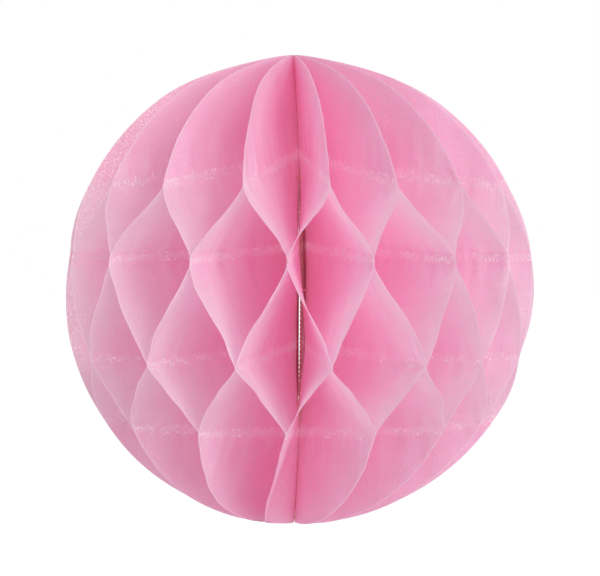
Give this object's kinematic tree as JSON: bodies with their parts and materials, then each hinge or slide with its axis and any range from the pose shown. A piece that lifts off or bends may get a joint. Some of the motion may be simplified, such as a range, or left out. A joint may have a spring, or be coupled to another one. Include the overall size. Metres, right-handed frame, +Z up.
{
  "type": "paper honeycomb ball",
  "caption": "Pink tissue-paper honeycomb ball that opens like a fan about its stitched spine into a full sphere, and hangs from the top of the spine.",
  "frame": {"origin": "the hanging point: the top of the knot at the upper end of the spine, on the spine's axis", "axes": "+Z up along the spine; the seam where the two cover cards meet faces +Y, so -Y is the front"},
  "size_m": [0.0994, 0.0993, 0.1],
  "materials": {
    "tissue": "matte",
    "cover_card": "matte",
    "thread": "matte",
    "tape": "satin"
  },
  "bodies": {
    "spine": {"spine_thread": "thread", "top_knot": "thread", "bottom_knot": "thread", "binding_loop_upper": "thread", "binding_loop_middle": "thread", "binding_loop_lower": "thread", "fixed_cover_card": "cover_card", "seam_tape_upper": "tape", "seam_tape_lower": "tape"},
    "sheet_01": {"sheet_01": "tissue"},
    "sheet_02": {"sheet_02": "tissue"},
    "sheet_03": {"sheet_03": "tissue"},
    "sheet_04": {"sheet_04": "tissue"},
    "sheet_05": {"sheet_05": "tissue"},
    "sheet_06": {"sheet_06": "tissue"},
    "sheet_07": {"sheet_07": "tissue"},
    "sheet_08": {"sheet_08": "tissue"},
    "sheet_09": {"sheet_09": "tissue"},
    "sheet_10": {"sheet_10": "tissue"},
    "sheet_11": {"sheet_11": "tissue"},
    "sheet_12": {"sheet_12": "tissue"},
    "sheet_13": {"sheet_13": "tissue"},
    "sheet_14": {"sheet_14": "tissue"},
    "sheet_15": {"sheet_15": "tissue"},
    "sheet_16": {"sheet_16": "tissue"},
    "sheet_17": {"sheet_17": "tissue"},
    "sheet_18": {"sheet_18": "tissue"},
    "sheet_19": {"sheet_19": "tissue"},
    "sheet_20": {"sheet_20": "tissue"},
    "sheet_21": {"sheet_21": "tissue"},
    "sheet_22": {"sheet_22": "tissue"},
    "sheet_23": {"sheet_23": "tissue"},
    "sheet_24": {"sheet_24": "tissue"},
    "sheet_25": {"sheet_25": "tissue"},
    "sheet_26": {"sheet_26": "tissue"},
    "sheet_27": {"sheet_27": "tissue"},
    "sheet_28": {"sheet_28": "tissue"},
    "sheet_29": {"sheet_29": "tissue"},
    "sheet_30": {"sheet_30": "tissue"},
    "sheet_31": {"sheet_31": "tissue"},
    "sheet_32": {"sheet_32": "tissue"},
    "free_cover": {"free_cover_card": "cover_card"}
  },
  "joints": [
    {"name": "fan_opening", "type": "hinge", "parent": "spine", "child": "free_cover", "pos_m": [0, 0, -0.05], "axis": [0, 0, 1], "range_deg": [-348, 0]},
    {"name": "sheet_01_turn", "type": "hinge", "parent": "spine", "child": "sheet_01", "pos_m": [0, 0, -0.05], "axis": [0, 0, 1], "range_deg": [-5.45, 0], "deforming": ["sheet_01"]},
    {"name": "sheet_02_turn", "type": "hinge", "parent": "spine", "child": "sheet_02", "pos_m": [0, 0, -0.05], "axis": [0, 0, 1], "range_deg": [-16.32, 0], "deforming": ["sheet_02"]},
    {"name": "sheet_03_turn", "type": "hinge", "parent": "spine", "child": "sheet_03", "pos_m": [0, 0, -0.05], "axis": [0, 0, 1], "range_deg": [-27.2, 0], "deforming": ["sheet_03"]},
    {"name": "sheet_04_turn", "type": "hinge", "parent": "spine", "child": "sheet_04", "pos_m": [0, 0, -0.05], "axis": [0, 0, 1], "range_deg": [-38.07, 0], "deforming": ["sheet_04"]},
    {"name": "sheet_05_turn", "type": "hinge", "parent": "spine", "child": "sheet_05", "pos_m": [0, 0, -0.05], "axis": [0, 0, 1], "range_deg": [-48.95, 0], "deforming": ["sheet_05"]},
    {"name": "sheet_06_turn", "type": "hinge", "parent": "spine", "child": "sheet_06", "pos_m": [0, 0, -0.05], "axis": [0, 0, 1], "range_deg": [-59.82, 0], "deforming": ["sheet_06"]},
    {"name": "sheet_07_turn", "type": "hinge", "parent": "spine", "child": "sheet_07", "pos_m": [0, 0, -0.05], "axis": [0, 0, 1], "range_deg": [-70.7, 0], "deforming": ["sheet_07"]},
    {"name": "sheet_08_turn", "type": "hinge", "parent": "spine", "child": "sheet_08", "pos_m": [0, 0, -0.05], "axis": [0, 0, 1], "range_deg": [-81.57, 0], "deforming": ["sheet_08"]},
    {"name": "sheet_09_turn", "type": "hinge", "parent": "spine", "child": "sheet_09", "pos_m": [0, 0, -0.05], "axis": [0, 0, 1], "range_deg": [-92.45, 0], "deforming": ["sheet_09"]},
    {"name": "sheet_10_turn", "type": "hinge", "parent": "spine", "child": "sheet_10", "pos_m": [0, 0, -0.05], "axis": [0, 0, 1], "range_deg": [-103.32, 0], "deforming": ["sheet_10"]},
    {"name": "sheet_11_turn", "type": "hinge", "parent": "spine", "child": "sheet_11", "pos_m": [0, 0, -0.05], "axis": [0, 0, 1], "range_deg": [-114.2, 0], "deforming": ["sheet_11"]},
    {"name": "sheet_12_turn", "type": "hinge", "parent": "spine", "child": "sheet_12", "pos_m": [0, 0, -0.05], "axis": [0, 0, 1], "range_deg": [-125.07, 0], "deforming": ["sheet_12"]},
    {"name": "sheet_13_turn", "type": "hinge", "parent": "spine", "child": "sheet_13", "pos_m": [0, 0, -0.05], "axis": [0, 0, 1], "range_deg": [-135.95, 0], "deforming": ["sheet_13"]},
    {"name": "sheet_14_turn", "type": "hinge", "parent": "spine", "child": "sheet_14", "pos_m": [0, 0, -0.05], "axis": [0, 0, 1], "range_deg": [-146.82, 0], "deforming": ["sheet_14"]},
    {"name": "sheet_15_turn", "type": "hinge", "parent": "spine", "child": "sheet_15", "pos_m": [0, 0, -0.05], "axis": [0, 0, 1], "range_deg": [-157.7, 0], "deforming": ["sheet_15"]},
    {"name": "sheet_16_turn", "type": "hinge", "parent": "spine", "child": "sheet_16", "pos_m": [0, 0, -0.05], "axis": [0, 0, 1], "range_deg": [-168.57, 0], "deforming": ["sheet_16"]},
    {"name": "sheet_17_turn", "type": "hinge", "parent": "spine", "child": "sheet_17", "pos_m": [0, 0, -0.05], "axis": [0, 0, 1], "range_deg": [-179.45, 0], "deforming": ["sheet_17"]},
    {"name": "sheet_18_turn", "type": "hinge", "parent": "spine", "child": "sheet_18", "pos_m": [0, 0, -0.05], "axis": [0, 0, 1], "range_deg": [-190.32, 0], "deforming": ["sheet_18"]},
    {"name": "sheet_19_turn", "type": "hinge", "parent": "spine", "child": "sheet_19", "pos_m": [0, 0, -0.05], "axis": [0, 0, 1], "range_deg": [-201.2, 0], "deforming": ["sheet_19"]},
    {"name": "sheet_20_turn", "type": "hinge", "parent": "spine", "child": "sheet_20", "pos_m": [0, 0, -0.05], "axis": [0, 0, 1], "range_deg": [-212.07, 0], "deforming": ["sheet_20"]},
    {"name": "sheet_21_turn", "type": "hinge", "parent": "spine", "child": "sheet_21", "pos_m": [0, 0, -0.05], "axis": [0, 0, 1], "range_deg": [-222.95, 0], "deforming": ["sheet_21"]},
    {"name": "sheet_22_turn", "type": "hinge", "parent": "spine", "child": "sheet_22", "pos_m": [0, 0, -0.05], "axis": [0, 0, 1], "range_deg": [-233.82, 0], "deforming": ["sheet_22"]},
    {"name": "sheet_23_turn", "type": "hinge", "parent": "spine", "child": "sheet_23", "pos_m": [0, 0, -0.05], "axis": [0, 0, 1], "range_deg": [-244.7, 0], "deforming": ["sheet_23"]},
    {"name": "sheet_24_turn", "type": "hinge", "parent": "spine", "child": "sheet_24", "pos_m": [0, 0, -0.05], "axis": [0, 0, 1], "range_deg": [-255.57, 0], "deforming": ["sheet_24"]},
    {"name": "sheet_25_turn", "type": "hinge", "parent": "spine", "child": "sheet_25", "pos_m": [0, 0, -0.05], "axis": [0, 0, 1], "range_deg": [-266.45, 0], "deforming": ["sheet_25"]},
    {"name": "sheet_26_turn", "type": "hinge", "parent": "spine", "child": "sheet_26", "pos_m": [0, 0, -0.05], "axis": [0, 0, 1], "range_deg": [-277.32, 0], "deforming": ["sheet_26"]},
    {"name": "sheet_27_turn", "type": "hinge", "parent": "spine", "child": "sheet_27", "pos_m": [0, 0, -0.05], "axis": [0, 0, 1], "range_deg": [-288.2, 0], "deforming": ["sheet_27"]},
    {"name": "sheet_28_turn", "type": "hinge", "parent": "spine", "child": "sheet_28", "pos_m": [0, 0, -0.05], "axis": [0, 0, 1], "range_deg": [-299.07, 0], "deforming": ["sheet_28"]},
    {"name": "sheet_29_turn", "type": "hinge", "parent": "spine", "child": "sheet_29", "pos_m": [0, 0, -0.05], "axis": [0, 0, 1], "range_deg": [-309.95, 0], "deforming": ["sheet_29"]},
    {"name": "sheet_30_turn", "type": "hinge", "parent": "spine", "child": "sheet_30", "pos_m": [0, 0, -0.05], "axis": [0, 0, 1], "range_deg": [-320.82, 0], "deforming": ["sheet_30"]},
    {"name": "sheet_31_turn", "type": "hinge", "parent": "spine", "child": "sheet_31", "pos_m": [0, 0, -0.05], "axis": [0, 0, 1], "range_deg": [-331.7, 0], "deforming": ["sheet_31"]},
    {"name": "sheet_32_turn", "type": "hinge", "parent": "spine", "child": "sheet_32", "pos_m": [0, 0, -0.05], "axis": [0, 0, 1], "range_deg": [-342.57, 0], "deforming": ["sheet_32"]}
  ],
  "couplings": [
    {"joint": "sheet_01_turn", "follows": "fan_opening", "ratio": 0.015625},
    {"joint": "sheet_02_turn", "follows": "fan_opening", "ratio": 0.046875},
    {"joint": "sheet_03_turn", "follows": "fan_opening", "ratio": 0.078125},
    {"joint": "sheet_04_turn", "follows": "fan_opening", "ratio": 0.10938},
    {"joint": "sheet_05_turn", "follows": "fan_opening", "ratio": 0.14062},
    {"joint": "sheet_06_turn", "follows": "fan_opening", "ratio": 0.17188},
    {"joint": "sheet_07_turn", "follows": "fan_opening", "ratio": 0.20312},
    {"joint": "sheet_08_turn", "follows": "fan_opening", "ratio": 0.23438},
    {"joint": "sheet_09_turn", "follows": "fan_opening", "ratio": 0.26562},
    {"joint": "sheet_10_turn", "follows": "fan_opening", "ratio": 0.29688},
    {"joint": "sheet_11_turn", "follows": "fan_opening", "ratio": 0.32812},
    {"joint": "sheet_12_turn", "follows": "fan_opening", "ratio": 0.35938},
    {"joint": "sheet_13_turn", "follows": "fan_opening", "ratio": 0.39062},
    {"joint": "sheet_14_turn", "follows": "fan_opening", "ratio": 0.42188},
    {"joint": "sheet_15_turn", "follows": "fan_opening", "ratio": 0.45312},
    {"joint": "sheet_16_turn", "follows": "fan_opening", "ratio": 0.48438},
    {"joint": "sheet_17_turn", "follows": "fan_opening", "ratio": 0.51562},
    {"joint": "sheet_18_turn", "follows": "fan_opening", "ratio": 0.54688},
    {"joint": "sheet_19_turn", "follows": "fan_opening", "ratio": 0.57812},
    {"joint": "sheet_20_turn", "follows": "fan_opening", "ratio": 0.60938},
    {"joint": "sheet_21_turn", "follows": "fan_opening", "ratio": 0.64062},
    {"joint": "sheet_22_turn", "follows": "fan_opening", "ratio": 0.67188},
    {"joint": "sheet_23_turn", "follows": "fan_opening", "ratio": 0.70312},
    {"joint": "sheet_24_turn", "follows": "fan_opening", "ratio": 0.73438},
    {"joint": "sheet_25_turn", "follows": "fan_opening", "ratio": 0.76562},
    {"joint": "sheet_26_turn", "follows": "fan_opening", "ratio": 0.79688},
    {"joint": "sheet_27_turn", "follows": "fan_opening", "ratio": 0.82812},
    {"joint": "sheet_28_turn", "follows": "fan_opening", "ratio": 0.85938},
    {"joint": "sheet_29_turn", "follows": "fan_opening", "ratio": 0.89062},
    {"joint": "sheet_30_turn", "follows": "fan_opening", "ratio": 0.92188},
    {"joint": "sheet_31_turn", "follows": "fan_opening", "ratio": 0.95312},
    {"joint": "sheet_32_turn", "follows": "fan_opening", "ratio": 0.98438}
  ]
}
